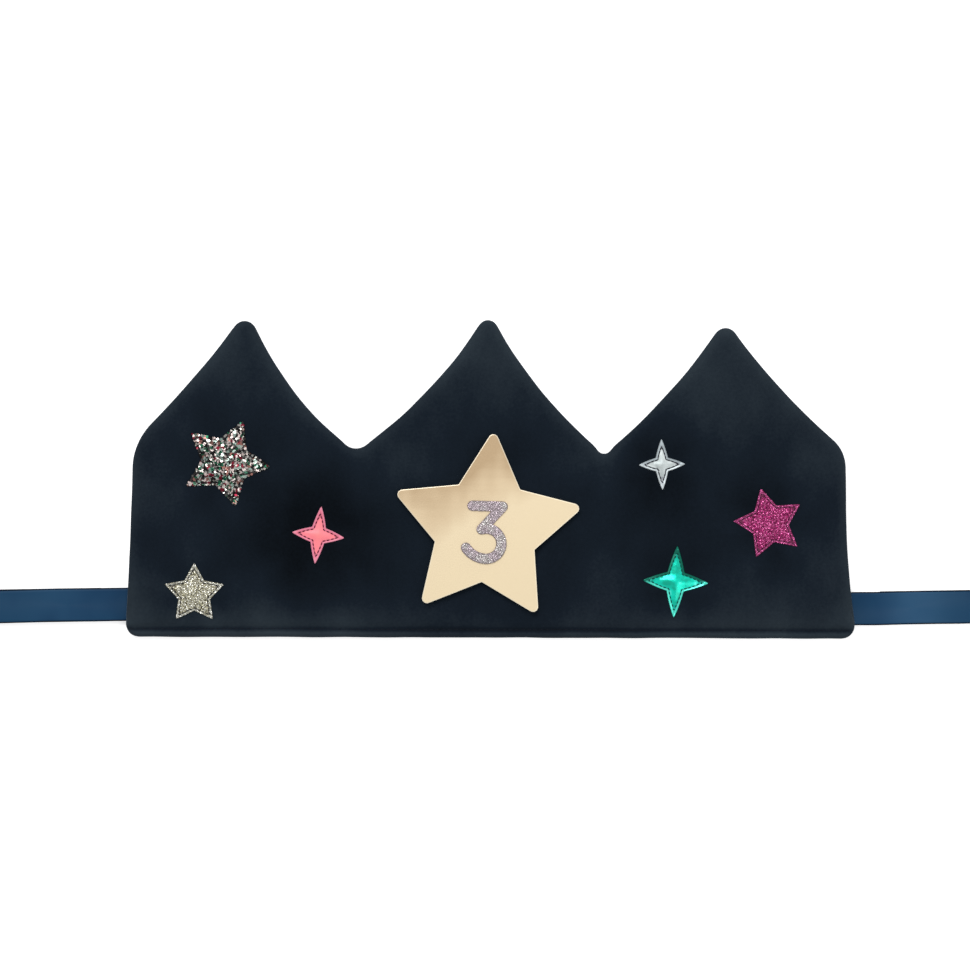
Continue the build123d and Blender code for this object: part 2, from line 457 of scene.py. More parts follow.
def goldMaterial():
    # satin gold with painted light in soft patches: darker on the upper arm, paler on the lower ones
    material, tree = startMaterial("goldLeatherette", metallic=0.4, roughness=0.4, specular=0.4)
    middle = middleOf("number_star")
    # slopes of the painted light across the star
    paintedLightAcross, paintedLightUp, start = 3.0, -11.0, 0.25
    lean = add(tree, "ShaderNodeMapping", {
        "Vector": objectSpot(tree), "Scale": (paintedLightAcross, paintedLightUp, 1),
        "Location": (start - paintedLightAcross * middle.x, start - paintedLightUp * middle.y, 0)})
    parts = add(tree, "ShaderNodeSeparateXYZ", {0: lean.outputs[0]})
    tone = math2(tree, "ADD", parts.outputs[0], parts.outputs[1])
    soft = math2(tree, "MULTIPLY", objectNoise(tree, 30, 2.0, stretch=(1.5, 0.8, 1)), 0.7)
    lines = math2(tree, "MULTIPLY", objectNoise(tree, 420, 2.0, stretch=(0.06, 1, 1)), 0.05)
    tone = math2(tree, "ADD", tone, math2(tree, "SUBTRACT", soft, 0.375))
    colour = ramp(tree, math2(tree, "ADD", tone, lines), (
        (0.13, srgb(188, 162, 127)), (0.28, srgb(217, 194, 159)), (0.50, srgb(237, 218, 183)),
        (0.75, srgb(239, 220, 184))), "LINEAR")
    # pale rim along the cut edge, a painted highlight
    rim = ramp(tree, attribute(tree, "edgeGap"), ((0.2, grey(0.8)), (0.55, grey(0))))
    colour = mixColour(tree, rim, colour, srgb(250, 240, 216))
    grain = add(tree, "ShaderNodeTexVoronoi", {"Vector": objectSpot(tree), "Scale": 1500.0})
    return dressed(material, colour, grain.outputs["Distance"], 0.06, 0.25)


def paintedGrooveShade(tree, colour):
    # painted shade in the groove where the thread sinks in
    off = math2(tree, "ABSOLUTE", math2(tree, "SUBTRACT", attribute(tree, "edgeGap"), sewing["inset"]))
    grooveShade = ramp(tree, off, ((0.1, (0.62, 0.6, 0.64, 1)), (0.42, grey(1))))
    return mixColour(tree, 1.0, colour, grooveShade, "MULTIPLY")


def foilMaterial(name, node, tones, borders, crinkle, **finish):
    # the border outside the thread curls up; painted shade darkens it above the middle and painted light
    # brightens it below
    material, tree = startMaterial(name, **finish)
    dark, light, paintedGlint = tones
    paintedShadeBorder, paintedLitBorder = borders
    # the lightest tone, a painted glint, comes in patches
    colour = ramp(tree, objectNoise(tree, 210, 2.0), ((0.34, dark), (0.60, light), (0.74, paintedGlint)))
    parts = add(tree, "ShaderNodeSeparateXYZ", {0: objectSpot(tree)})
    above = math2(tree, "SUBTRACT", parts.outputs[1], middleOf(node).y)
    above = math2(tree, "MULTIPLY", above, 0.25 / mm)
    edge = ramp(tree, math2(tree, "ADD", above, 0.5), ((0.3, paintedLitBorder), (0.7, paintedShadeBorder)))
    share = math2(tree, "DIVIDE", attribute(tree, "edgeGap"), borderReach)
    rim = ramp(tree, share, ((0.24, grey(1)), (0.34, grey(0))))
    colour = paintedGrooveShade(tree, mixColour(tree, rim, colour, edge))
    return dressed(material, colour, objectNoise(tree, 300, 2.0), crinkle, 0.5)


def pinkMaterial():
    material, tree = startMaterial("pinkLeatherette", roughness=0.42, specular=0.45)
    share = math2(tree, "DIVIDE", attribute(tree, "edgeGap"), 6.0)
    colour = ramp(tree, share, (
        (0.0, srgb(208, 132, 156)), (0.16, srgb(224, 112, 138)), (0.32, srgb(246, 128, 137)),
        (1.0, srgb(246, 136, 131))))
    tint = mixColour(tree, objectNoise(tree, 160), colour, srgb(252, 130, 148))
    colour = paintedGrooveShade(tree, mixColour(tree, 0.4, colour, tint))
    return dressed(material, colour, objectNoise(tree, 900), 0.08, 0.3)


def backingMaterial(name, colour, sewn=True):
    material, tree = startMaterial(name, roughness=0.8)
    speck = objectNoise(tree, 1800, 2.0)
    dark = tuple(c * 0.55 for c in colour[:3]) + (1.0,)
    shade = ramp(tree, speck, ((0.35, dark), (0.65, colour)))
    return dressed(material, paintedGrooveShade(tree, shade) if sewn else shade, speck, 0.1, 0.6)


def flakeMaterial(name, stops, border=None, reach=1.0, drift=None):
    # each flake has one of the stops' colours, with a tint along the border and in patches; the palest stops
    # stand partly for painted glints and the darkest partly for painted shade between flakes
    material, tree = startMaterial(name, metallic=0.85, roughness=0.28)
    colour = ramp(tree, attribute(tree, "flakeTone"), stops, "CONSTANT")
    if border:
        share = math2(tree, "DIVIDE", attribute(tree, "edgeGap"), borderReach * reach)
        rim = ramp(tree, share, ((0.22, grey(0.6)), (0.34, grey(0))))
        colour = mixColour(tree, rim, colour, border)
    if drift:
        patches = ramp(tree, objectNoise(tree, 130, 2.0), ((0.42, grey(0)), (0.6, grey(0.62))))
        colour = mixColour(tree, patches, colour, drift)
    return dressed(material, colour)


def fibreMaterial(name, pattern, dark, light, height, strength, **finish):
    material, tree = startMaterial(name, **finish)
    fibres = objectNoise(tree, **pattern)
    colour = ramp(tree, fibres, ((0.3, dark), (0.7, light)))
    return dressed(material, colour, fibres, height, strength)


def threadMaterial(name, dark, light):
    twist = {"scale": 1500, "detail": 2.0, "stretch": (1, 2, 1)}
    return fibreMaterial(name, twist, dark, light, 0.1, 0.5, roughness=0.8, specular=0.15)


def fluffMaterial(name, dark, light, scale):
    tufts = {"scale": scale, "detail": 5.0}
    return fibreMaterial(name, tufts, dark, light, 0.4, 0.8, roughness=0.95, sheen=0.4)


# Stitches and glitter

def startTree(name, sockets):
    tree = bpy.data.node_groups.new(name, "GeometryNodeTree")
    tree.interface.new_socket("Geometry", in_out="INPUT", socket_type="NodeSocketGeometry")
    for socket, kind in sockets.items():
        tree.interface.new_socket(socket, in_out="INPUT", socket_type="NodeSocket" + kind)
    tree.interface.new_socket("Geometry", in_out="OUTPUT", socket_type="NodeSocketGeometry")
    return tree, add(tree, "NodeGroupInput").outputs


def closeTree(tree, instances, material):
    real = add(tree, "GeometryNodeRealizeInstances", {"Geometry": instances})
    coated = add(tree, "GeometryNodeSetMaterial", {"Geometry": real.outputs[0], "Material": material})
    add(tree, "NodeGroupOutput", {"Geometry": coated.outputs[0]})
    return tree


def vector(tree, x, y, z):
    return add(tree, "ShaderNodeCombineXYZ", {0: x, 1: y, 2: z}).outputs[0]


def lessThan(tree, first, second):
    return add(tree, "FunctionNodeCompare", {0: first, 1: second}, operation="LESS_THAN").outputs[0]


def stitchTree():
    tree, given = startTree("stitchRow", {
        "Pitch": "Float", "Length": "Float", "Width": "Float", "Thread": "Material"})
    line = add(tree, "GeometryNodeMeshToCurve", {"Mesh": given["Geometry"]})
    spots = add(tree, "GeometryNodeCurveToPoints", {
        "Curve": line.outputs[0], "Length": given["Pitch"]}, mode="LENGTH")
    turn = add(tree, "FunctionNodeAlignRotationToVector", {"Vector": spots.outputs["Tangent"]}, axis="X")
    thread = add(tree, "GeometryNodeMeshUVSphere", {"Segments": 8, "Rings": 6, "Radius": 0.5})
    soft = add(tree, "GeometryNodeSetShadeSmooth", {"Geometry": thread.outputs["Mesh"]})
    rows = add(tree, "GeometryNodeInstanceOnPoints", {
        "Points": spots.outputs["Points"], "Instance": soft.outputs[0], "Rotation": turn.outputs[0],
        "Scale": vector(tree, given["Length"], given["Width"], given["Width"])})
    return closeTree(tree, rows.outputs[0], given["Thread"])


def glitterTree():
    tree, given = startTree("glitterCover", {
        "Flake Size": "Float", "Flake Top": "Float", "Density": "Float", "Tilt": "Float",
        "Sewn Gap": "Float", "Clear": "Float", "Edge Clear": "Float", "Edge Flake": "Float",
        "Sides": "Int", "Seed": "Int", "Flakes": "Material"})
    spots = add(tree, "GeometryNodeDistributePointsOnFaces", {
        "Mesh": given["Geometry"], "Density": given["Density"], "Seed": given["Seed"]})
    gap = add(tree, "GeometryNodeInputNamedAttribute", {"Name": "edgeGap"}, data_type="FLOAT").outputs[0]
    off = math2(tree, "ABSOLUTE", math2(tree, "SUBTRACT", gap, given["Sewn Gap"]))
    underThread = lessThan(tree, off, given["Clear"])
    overEdge = lessThan(tree, gap, given["Edge Clear"])
    bare = add(tree, "FunctionNodeBooleanMath", {0: underThread, 1: overEdge}, operation="OR")
    kept = add(tree, "GeometryNodeDeleteGeometry", {
        "Geometry": spots.outputs["Points"], "Selection": bare.outputs[0]}, domain="POINT")
    tone = add(tree, "FunctionNodeRandomValue", {8: given["Seed"]}, data_type="FLOAT")
    marked = add(tree, "GeometryNodeStoreNamedAttribute", {
        "Geometry": kept.outputs[0], "Name": "flakeTone", "Value": tone.outputs[1]})
    flake = add(tree, "GeometryNodeMeshCone", {
        "Vertices": given["Sides"], "Radius Top": given["Flake Top"], "Radius Bottom": 0.5, "Depth": 0.12})
    lean = math2(tree, "MULTIPLY", given["Tilt"], -1.0)
    sway = add(tree, "FunctionNodeRandomValue", {
        0: vector(tree, lean, lean, 0.0), 1: vector(tree, given["Tilt"], given["Tilt"], 2 * math.pi),
        8: given["Seed"]}, data_type="FLOAT_VECTOR")
    swayTurn = add(tree, "FunctionNodeEulerToRotation", {0: sway.outputs[0]})
    turn = add(tree, "FunctionNodeRotateRotation", {
        "Rotation": spots.outputs["Rotation"], "Rotate By": swayTurn.outputs[0]}, rotation_space="LOCAL")
    grow = add(tree, "FunctionNodeRandomValue", {2: 0.5, 3: 1.35, 8: given["Seed"]}, data_type="FLOAT")
    size = math2(tree, "MULTIPLY", grow.outputs[1], given["Flake Size"])
    room = add(tree, "ShaderNodeMath", {0: gap, 1: 2 * mm, 2: given["Edge Flake"]}, operation="MULTIPLY_ADD")
    cover = add(tree, "GeometryNodeInstanceOnPoints", {
        "Points": marked.outputs[0], "Instance": flake.outputs["Mesh"], "Rotation": turn.outputs[0],
        "Scale": math2(tree, "MINIMUM", size, room.outputs[0])})
    return closeTree(tree, cover.outputs[0], given["Flakes"])


def runTree(piece, tree, values):
    modifier = piece.modifiers.new(tree.name, "NODES")
    modifier.node_group = tree
    for socket in tree.interface.items_tree:
        if socket.in_out == "INPUT" and socket.name in values:
            modifier[socket.identifier] = values[socket.name]
    return finishMesh(piece)


stitchNodes = stitchTree()
glitterNodes = glitterTree()
navyThread = threadMaterial("navyThread", srgb(7, 9, 16), srgb(24, 27, 38))


def stitchRow(name, points, closed, settings):
    count = len(points)
    edges = [(i, (i + 1) % count) for i in range(count if closed else count - 1)]
    mesh = bpy.data.meshes.new(name)
    mesh.from_pydata([Vector(p) * mm for p in points], edges, [])
    piece = bpy.data.objects.new(name, mesh)
    scene.collection.objects.link(piece)
    runTree(piece, stitchNodes, settings)
    place(piece, "velvet")


# Velvet crown: front and back panels sewn round the edge, then stuffed

crown = {
    "seamBevel": 0.5,  # the outline is full this far above the seam
    "edgeStep": 2.0, "frontNet": 3.2, "backNet": 5.0,  # spacing of points
    "edgeRings": (  # inset and share of the rise
        (0.45, 0.0), (0.0, 0.13), (0.12, 0.30), (0.55, 0.46), (1.25, 0.60), (2.1, 0.71)),
    "edgeRound": 12.0,  # padding reaches its full rise this far in
    "edgeWobble": 0.28, "edgeLean": 0.3, "edgeWaves": ((1.0, 17, 4.4),),  # how uneven the sewn edge is
    "edgeStand": 0.4,  # pile stands this far past the seam
    "valleyPull": 1.0,  # the clipped seam draws the valleys in this far
    "valleySpan": 3, "valleySharp": 1.3, "valleyFrom": 0.2,  # what tells a valley
    "hemLine": 3.8,  # topstitching above the hem
    "hemSway": 0.35, "hemWaves": ((1.0, 38, 7.7),),  # how that line wanders
    "hemRows": (0, 1.3, 2.9), "hemStep": 2.4, "hemEnd": 5,  # rows of points along it
    "hemSink": 2.2, "hemSoft": 1.3, "hemBack": 0.5,  # its dip, and the share of it on the back
    "undulation": 0.8, "waves": ((1.0, 55, 3.1), (0.6, 26, 8.4)), "waveIn": 20,
    "pressure": 4.0, "quality": 6, "frames": 20, "pinReach": 0.3,
    "swell": 1.0,  # most that the stuffing moves a point
    "fabric": 0.8,
    "quiltSink": 1.1, "quiltSoft": 4.5,  # dip along the sewn lines of the appliques
    "patchSoft": 6.0,  # velvet is held flat round the loop patch
    "creaseRise": 0.45, "creaseReach": 9.0, "creaseStart": 2,  # creases that run out from the tips
}
velvet = velvetMaterial()
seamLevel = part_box("back_panel")[1].z / mm
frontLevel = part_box("front_panel")[1].z / mm
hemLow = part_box("front_panel")[0] / mm
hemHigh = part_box("front_panel")[1] / mm


def sewnEdge():
    # outline of the crown with the slight unevenness of a sewn edge
    loop = evenLoop(nodeLoop("front_panel", seamLevel + crown["seamBevel"]), crown["edgeStep"])
    sway = ripples(loop, crown["edgeWaves"])[:, None]
    inward = insetLoop(loop, 1.0) - loop
    before = loop - np.roll(loop, crown["valleySpan"], axis=0)
    after = np.roll(loop, -crown["valleySpan"], axis=0) - loop
    turn = (before[:, 0] * after[:, 1] - before[:, 1] * after[:, 0]) / (before ** 2).sum(1)
    valley = softStep(-turn * crown["valleySharp"] - crown["valleyFrom"])[:, None]
    push = crown["edgeWobble"] * (crown["edgeLean"] + sway) - crown["edgeStand"]
    return loop + inward * (push + crown["valleyPull"] * valley)


def hemLine(x):
    sway = ripples(np.column_stack([x, np.zeros(len(x))]), crown["hemWaves"])
    return hemLow.y + crown["hemLine"] + crown["hemSway"] * sway


def hemRows():
    # extra points on and above the topstitch line
    reach = np.arange(hemLow.x + crown["hemEnd"], hemHigh.x - crown["hemEnd"], crown["hemStep"])
    line = hemLine(reach)
    return np.vstack([np.column_stack([reach, line + up]) for up in crown["hemRows"]])


crownLoop = sewnEdge()


def panelRise(flat):
    # share of the full padding at each flat point of a panel
    lastInset, lastShare = crown["edgeRings"][-1]
    deep = (edgeGap(flat, crownLoop) - lastInset) / (crown["edgeRound"] - lastInset)
    share = 1 - (1 - lastShare) * (1 - np.clip(deep, 0, 1)) ** 2
    return setRings(share, len(crownLoop), [rise for inset, rise in crown["edgeRings"]])


def hemDip(flat, share):
    return crown["hemSink"] * share * bell((flat[:, 1] - hemLine(flat[:, 0])) / crown["hemSoft"])


def puffUp(points, faces, pinned):
    # short cloth run that lets the stuffing press on the sewn bag
    bag = makePiece("trialBag", points, faces)
    sewn = bag.vertex_groups.new(name="sewn")
    sewn.add(pinned, 1.0, "REPLACE")
    cloth = bag.modifiers.new("stuffing", "CLOTH")
    cloth.settings.quality = crown["quality"]
    cloth.settings.use_pressure = True
    cloth.settings.uniform_pressure_force = crown["pressure"]
    cloth.settings.effector_weights.gravity = 0
    cloth.settings.vertex_group_mass = "sewn"
    cloth.point_cache.frame_end = crown["frames"]
    for step in range(1, crown["frames"] + 1):
        scene.frame_set(step)
    finishMesh(bag)
    settled = np.array([v.co / mm for v in bag.data.vertices])
    bpy.data.objects.remove(bag)
    scene.frame_set(1)
    moved = settled - points
    reach = np.linalg.norm(moved, axis=1)[:, None] + 1e-9
    limit = crown["swell"]
    print("stuffing moved points by", reach.max().round(2), "mm, mean", reach.mean().round(2))
    return points + moved / reach * limit * np.tanh(reach / limit)


def outsideGap(flat, loop):
    return np.where(insideLoop(flat, loop), 0.0, edgeGap(flat, loop))


pile = {
    "plain": 0.52, "clouds": ((0.16, 52, 2.2), (0.10, 23, 6.1)),
    "tips": 0.12, "tipReach": 64,  # painted sheen at the tips, the ends, the hem and the rim
    "ends": 0.03, "endReach": 18,
    "hem": 0.22, "hemReach": 16, "hemLeast": 0.3, "hemFrom": 30, "hemFade": 50,  # less in the painted shadow below the number star
    "rim": 0.20, "rimReach": 4, "rimLeast": 0.4, "rimFade": 12,  # less along the hem
    "creases": 0.3,
    "creaseShade": 0.4, "stitchReach": 1.0,  # painted shade in the topstitched crease
    "flattest": 0.02,
}
pressedPileAndShade = {  # how much pressed pile and painted shade darken the velvet round each piece, and how far
    "glitter_star_multicolour": (0.14, 16), "glitter_star_gold": (0.08, 16),
    "glitter_star_magenta": (0.13, 16), "sparkle_pink": (0.52, 22), "sparkle_silver": (0.28, 16),
    "sparkle_green": (0.14, 14), "number_star": (0.10, 16),
}


def pileLieAndLight(flat):
    # low where the pile is pressed and where shade is painted, high where it stands and where sheen is
    # painted
    x, y = flat[:, 0], flat[:, 1]
    up = y - hemLow.y
    lieAndLight = pile["plain"] + ripples(flat, pile["clouds"])
    # painted sheen where the velvet curves away: tips, ends, hem and rim
    tips = softStep((y - hemHigh.y + pile["tipReach"]) / pile["tipReach"])
    ends = bell((hemHigh.x - abs(x)) / pile["endReach"])
    hem = pile["hemLeast"] + softStep((abs(x) - pile["hemFrom"]) / pile["hemFade"])
    hem = bell(up / pile["hemReach"]) * hem
    rim = pile["rimLeast"] + (1 - pile["rimLeast"]) * softStep(up / pile["rimFade"])
    rim = bell(edgeGap(flat, crownLoop) / pile["rimReach"]) * rim
    lieAndLight = lieAndLight + pile["tips"] * tips + pile["ends"] * ends + pile["hem"] * hem + pile["rim"] * rim
    # crease ridges get painted light and the hollows between them painted shade
    for plan in plans.values():
        lieAndLight = lieAndLight + pile["creases"] * tipCreases(flat, plan)
    # pressed pile and painted shade round each piece, the number star's painted shadow among them
    for node, (weight, reach) in pressedPileAndShade.items():
        lieAndLight = lieAndLight - weight * bell(outsideGap(flat, nodeLoop(node)) / reach)
    # painted shade along the topstitched crease
    lieAndLight = lieAndLight - pile["creaseShade"] * bell((y - hemLine(x)) / pile["stitchReach"])
    return np.clip(lieAndLight, pile["flattest"], 1.0)


def tipCreases(flat, plan):
    loop = plan["loop"]
    middle = loop.mean(0)
    away = outsideGap(flat, loop)
    angle = np.arctan2(flat[:, 1] - middle[1], flat[:, 0] - middle[0])
    tips = len(loopCorners(loop)) // 2
    start = loop[np.linalg.norm(loop - middle, axis=1).argmax()] - middle
    turn = tips * (angle - math.atan2(start[1], start[0]))
    fade = np.exp(-away / crown["creaseReach"]) * (1 - np.exp(-away / crown["creaseStart"]))
    return crown["creaseRise"] * fade * np.cos(turn)


def sewnBag(quilting):
    insets = [inset for inset, rise in crown["edgeRings"]]
    count = len(crownLoop)
    rows = hemRows()
    frontFlat, frontFaces = ringCap(crownLoop, insets, crown["frontNet"], np.vstack([rows, quilting]))
    backFlat, backFaces = ringCap(crownLoop, insets, crown["backNet"], rows)
    frontShare = panelRise(frontFlat)
    backShare = panelRise(backFlat)
    front = seamLevel + (frontLevel - seamLevel) * frontShare - hemDip(frontFlat, frontShare)
    back = seamLevel - seamLevel * backShare + hemDip(backFlat, backShare) * crown["hemBack"]
    points = np.vstack([np.column_stack([frontFlat, front]), np.column_stack([backFlat, back])[count:]])
    backFaces = underFaces(backFaces, count, len(frontFlat) - count)
    onHem = abs(points[:, 1] - hemLine(points[:, 0])) < crown["pinReach"]
    pinned = [int(i) for i in np.nonzero(onHem)[0]] + list(range(count))
    points = puffUp(points, frontFaces + backFaces, pinned)
    points[:, 2] = np.maximum(points[:, 2], 0.0)
    top = points[:len(frontFlat)]
    inner = softStep(edgeGap(frontFlat, crownLoop) / crown["waveIn"])
    top[:, 2] += crown["undulation"] * ripples(frontFlat, crown["waves"]) * inner
    top[:, 2] -= crown["quiltSink"] * bell(spotGap(frontFlat, quilting) / crown["quiltSoft"])
    for plan in plans.values():
        top[:, 2] += tipCreases(frontFlat, plan) * inner
    patch = outsideGap(frontFlat, nodeLoop("loop_patch", frontLevel))
    top[:, 2] += (frontLevel - top[:, 2]) * bell(patch / crown["patchSoft"])
    bottomUse = sorted({i for face in backFaces for i in face})
    renumber = {old: new for new, old in enumerate(bottomUse)}
    bottomFaces = [[renumber[i] for i in face] for face in backFaces]
    return (top, frontFaces), (points[bottomUse], bottomFaces)


def velvetPanel(name, points, faces, lieAndLight):
    panel = makePiece(name, points, faces, velvet)
    storeValues(panel, "pileLieAndLight", lieAndLight)
    smooth = panel.modifiers.new("smooth", "SUBSURF")
    smooth.levels = 1
    smooth.render_levels = 1
    wall = panel.modifiers.new("fabric", "SOLIDIFY")
    wall.thickness = crown["fabric"] * mm
    wall.offset = -1
    return finishMesh(panel)


# Appliques sewn on through their edges

sewing = {
    "inset": 1.2, "threadStep": 0.6, "threadLift": 0.13, "sewnPoints": 7, "quiltStep": 3.0,
    "snip": 0.4,  # how blunt the tips are
    "bow": 0.55, "sewnBow": 0.8,  # shares of the bow that the cut edges and the sewn line keep
    "cutEdge": 0.45, "insets": (0.0, 0.0, 0.12, 0.3), "edgeShares": (0.55, 0.9),  # sheet at its cut edge
    "lift": 0.15,
    "sink": 0.32, "sinkReach": 0.55,  # dip of the sheet under the thread
    "puff": 0.75, "puffReach": 5,  # rise inside the sewn line
    "bed": 0.08,  # underside in the pile
    "edgeStep": 1.0, "net": 1.3, "sharp": 55,
}
stitch = {"Pitch": 2.1 * mm, "Length": 1.5 * mm, "Width": 0.58 * mm, "Thread": navyThread}


def sewnLoop(loop):
    # corners of the shape moved in, with the same slight bow between them as its edges
    corners = loopCorners(loop)
    wide = loop[corners]
    tight = insetLoop(wide, sewing["inset"])
    count = len(corners)
    span = np.linspace(0, 1, sewing["sewnPoints"])[:, None]
    runs = []
    for i in range(count):
        k = (i + 1) % count
        stop = corners[k] if k else corners[0] + len(loop)
        halfway = [(corners[i] + stop) // 2, (corners[i] + stop + 1) // 2]
        bow = np.take(loop, halfway, axis=0, mode="wrap").mean(0) - (wide[i] + wide[k]) / 2
        run = tight[i] + (tight[k] - tight[i]) * span + 4 * span * (1 - span) * bow * sewing["sewnBow"]
        runs.append(run[:-1])
    return np.vstack(runs)


def easeBow(loop):
    # edges between the corners drawn nearer to straight lines
    corners = loopCorners(loop)
    count = len(loop)
    eased = loop.copy()
    for start, end in zip(corners, np.append(corners[1:], corners[0] + count)):
        run = np.arange(start, end) % count
        share = np.linspace(0, 1, len(run), endpoint=False)[:, None]
        chord = loop[start] + (loop[end % count] - loop[start]) * share
        eased[run] = chord + (loop[run] - chord) * sewing["bow"]
    return eased


def appliquePlan(node):
    loop = easeBow(evenLoop(nodeLoop(node), sewing["edgeStep"]))
    blunt = loop.copy()
    for corner in loopCorners(loop):
        beside = (loop[corner - 1] + loop[(corner + 1) % len(loop)]) / 2
        if insideLoop(beside[None], loop)[0]:
            blunt[corner] += sewing["snip"] * (beside - loop[corner])
    return {"loop": loop, "sewn": sewnLoop(loop), "cut": blunt}


def sheetRise(gap):
    # height of a sewn sheet above the velvet, by the distance from its cut edge
    past = gap - sewing["inset"]
    dip = sewing["sink"] * bell(past / sewing["sinkReach"])
    return sewing["cutEdge"] + sewing["lift"] - dip + sewing["puff"] * softStep(past / sewing["puffReach"])


def closedPlate(loop, insets, step, rise, under, extra=None):
    # rings up the cut edge, a net on top and the same net below
    flat, faces = ringCap(loop, insets, step, extra)
    count = len(loop)
    capStart = count * (len(insets) - 1)
    top = np.column_stack([flat, rise(flat)])
    top[:count, 2] = under(flat[:count])
    inner = flat[capStart:]
    bottom = np.column_stack([inner, under(inner)])
    start = len(top)
    walls = [[i, start + i, start + (i + 1) % count, (i + 1) % count] for i in range(count)]
    cap = [face for face in faces if min(face) >= capStart]
    below = [[start + j - capStart for j in face][::-1] for face in cap]
    return np.vstack([top, bottom]), faces + walls + below, start


def applique(node, plan, material):
    loop = plan["cut"]
    count = len(loop)

    def rise(flat):
        height = sheetRise(edgeGap(flat, loop))
        setRings(height[count:], count, [sewing["cutEdge"] * share for share in sewing["edgeShares"]])
        return velvetTop(flat) + height

    def under(flat):
        return velvetTop(flat) - sewing["bed"]

    extra = smoothRun(plan["sewn"], sewing["net"], closed=True)
    points, faces, topCount = closedPlate(loop, sewing["insets"], sewing["net"], rise, under, extra)
    piece = makePiece(node + "_sheet", points, faces, material, sharp=sewing["sharp"])
    storeValues(piece, "edgeGap", edgeGap(points[:, :2], loop))
    topFaces = [face for face in faces if max(face) < topCount and min(face) >= count]
    return piece, points[:topCount], topFaces


def sewnThread(node, plan):
    sewn = smoothRun(plan["sewn"], sewing["threadStep"], closed=True)
    level = sheetRise(np.array([sewing["inset"]]))[0] + sewing["threadLift"]
    points = np.column_stack([sewn, velvetTop(sewn) + level])
    stitchRow(node + "_stitches", points, True, {**stitch, **sheetLooks[node].get("stitch", {})})


def glitter(name, points, faces, gaps, flakes, settings):
    cover = makePiece(name, points, faces)
    storeValues(cover, "edgeGap", gaps)
    runTree(cover, glitterNodes, {**settings, "Sewn Gap": sewing["inset"], "Flakes": flakes})
    print(name, len(cover.data.polygons), "faces")
    return cover


chunky = {
    "Flake Size": 1.7 * mm, "Flake Top": 0.45, "Density": 1.7e6, "Tilt": 0.4, "Clear": 0.28,
    "Edge Clear": 0.05, "Edge Flake": 0.8 * mm, "Sides": 6, "Seed": 5}
fineGlitter = {
    "Flake Size": 0.6 * mm, "Flake Top": 0.0, "Density": 8.5e6, "Tilt": 0.78, "Clear": 0.28,
    "Edge Clear": 0.15, "Edge Flake": 0.25 * mm, "Sides": 5, "Seed": 11}

sheetLooks = {
    "glitter_star_multicolour": {
        "slot": "multicolour_glitter", "sheet": backingMaterial("darkBacking", srgb(44, 40, 40)),
        "glitter": chunky,
        "flakes": flakeMaterial("multicolourFlakes", (
            (0.0, srgb(217, 217, 208)), (0.25, srgb(168, 167, 162)), (0.37, srgb(98, 95, 92)),
            (0.47, srgb(34, 31, 31)), (0.73, srgb(222, 204, 200)), (0.82, srgb(122, 28, 48)),
            (0.86, srgb(34, 98, 72)), (0.90, srgb(164, 186, 176)), (0.96, srgb(142, 100, 92)))),
    },
    "glitter_star_gold": {
        "slot": "gold_glitter", "sheet": backingMaterial("paleGoldBacking", srgb(156, 152, 129)),
        "glitter": fineGlitter,
        "flakes": flakeMaterial("goldFlakes", (
            (0.0, srgb(230, 227, 197)), (0.36, srgb(190, 185, 154)), (0.56, srgb(242, 241, 232)),
            (0.85, srgb(92, 86, 64))), border=srgb(218, 220, 216)),
    },
    "glitter_star_magenta": {
        "slot": "magenta_glitter", "sheet": backingMaterial("magentaBacking", srgb(140, 30, 88)),
        "glitter": {**fineGlitter, "Seed": 23},
        "flakes": flakeMaterial("magentaFlakes", (
            (0.0, srgb(196, 43, 129)), (0.40, srgb(154, 26, 96)), (0.64, srgb(230, 116, 176)),
            (0.86, srgb(108, 20, 70))), border=srgb(186, 92, 144)),
        "stitch": {"Length": 1.3 * mm, "Width": 0.38 * mm},
    },
    "sparkle_pink": {
        "slot": "pink_leatherette", "sheet": pinkMaterial(),
        "stitch": {"Thread": threadMaterial("wineThread", srgb(52, 8, 28), srgb(98, 20, 48))}},
    "sparkle_silver": {
        "slot": "silver_foil", "sheet": foilMaterial(
            "silverFoil", "sparkle_silver",
            # tones, the last a painted glint; then border tones of painted shade and painted light
            (srgb(178, 187, 187), srgb(204, 212, 212), srgb(232, 238, 238)),
            (srgb(172, 183, 188), srgb(196, 205, 208)), 0.04, metallic=0.55, roughness=0.5),
        "stitch": {"Length": 2.3 * mm}},
    "sparkle_green": {
        "slot": "green_foil", "sheet": foilMaterial(
            "greenFoil", "sparkle_green",
            # tones, the last a painted glint; then border tones of painted shade and painted light
            (srgb(0, 184, 154), srgb(0, 230, 200), srgb(84, 252, 230)),
            (srgb(0, 112, 92), srgb(84, 234, 210)), 0.4,
            metallic=0.55, roughness=0.3, specular=0.2, coat=0.35, coatRoughness=0.18),
        "stitch": {"Thread": threadMaterial("greenThread", srgb(0, 44, 38), srgb(0, 84, 70))}},
}

plans = {node: appliquePlan(node) for node in sheetLooks}
quilting = np.vstack([smoothRun(plan["sewn"], sewing["quiltStep"], closed=True) for plan in plans.values()])
(frontPoints, frontFaces), (backPoints, backFaces) = sewnBag(quilting)
velvetFront = velvetPanel("velvetFront", frontPoints, frontFaces, pileLieAndLight(frontPoints[:, :2]))
velvetBack = velvetPanel("velvetBack", backPoints, backFaces, np.full(len(backPoints), 0.5))
place(velvetFront, "velvet", "front_panel")
place(velvetBack, "velvet", "back_panel")
velvetTop = surfaceOf(velvetFront)
print("velvet panels", len(velvetFront.data.polygons), len(velvetBack.data.polygons))

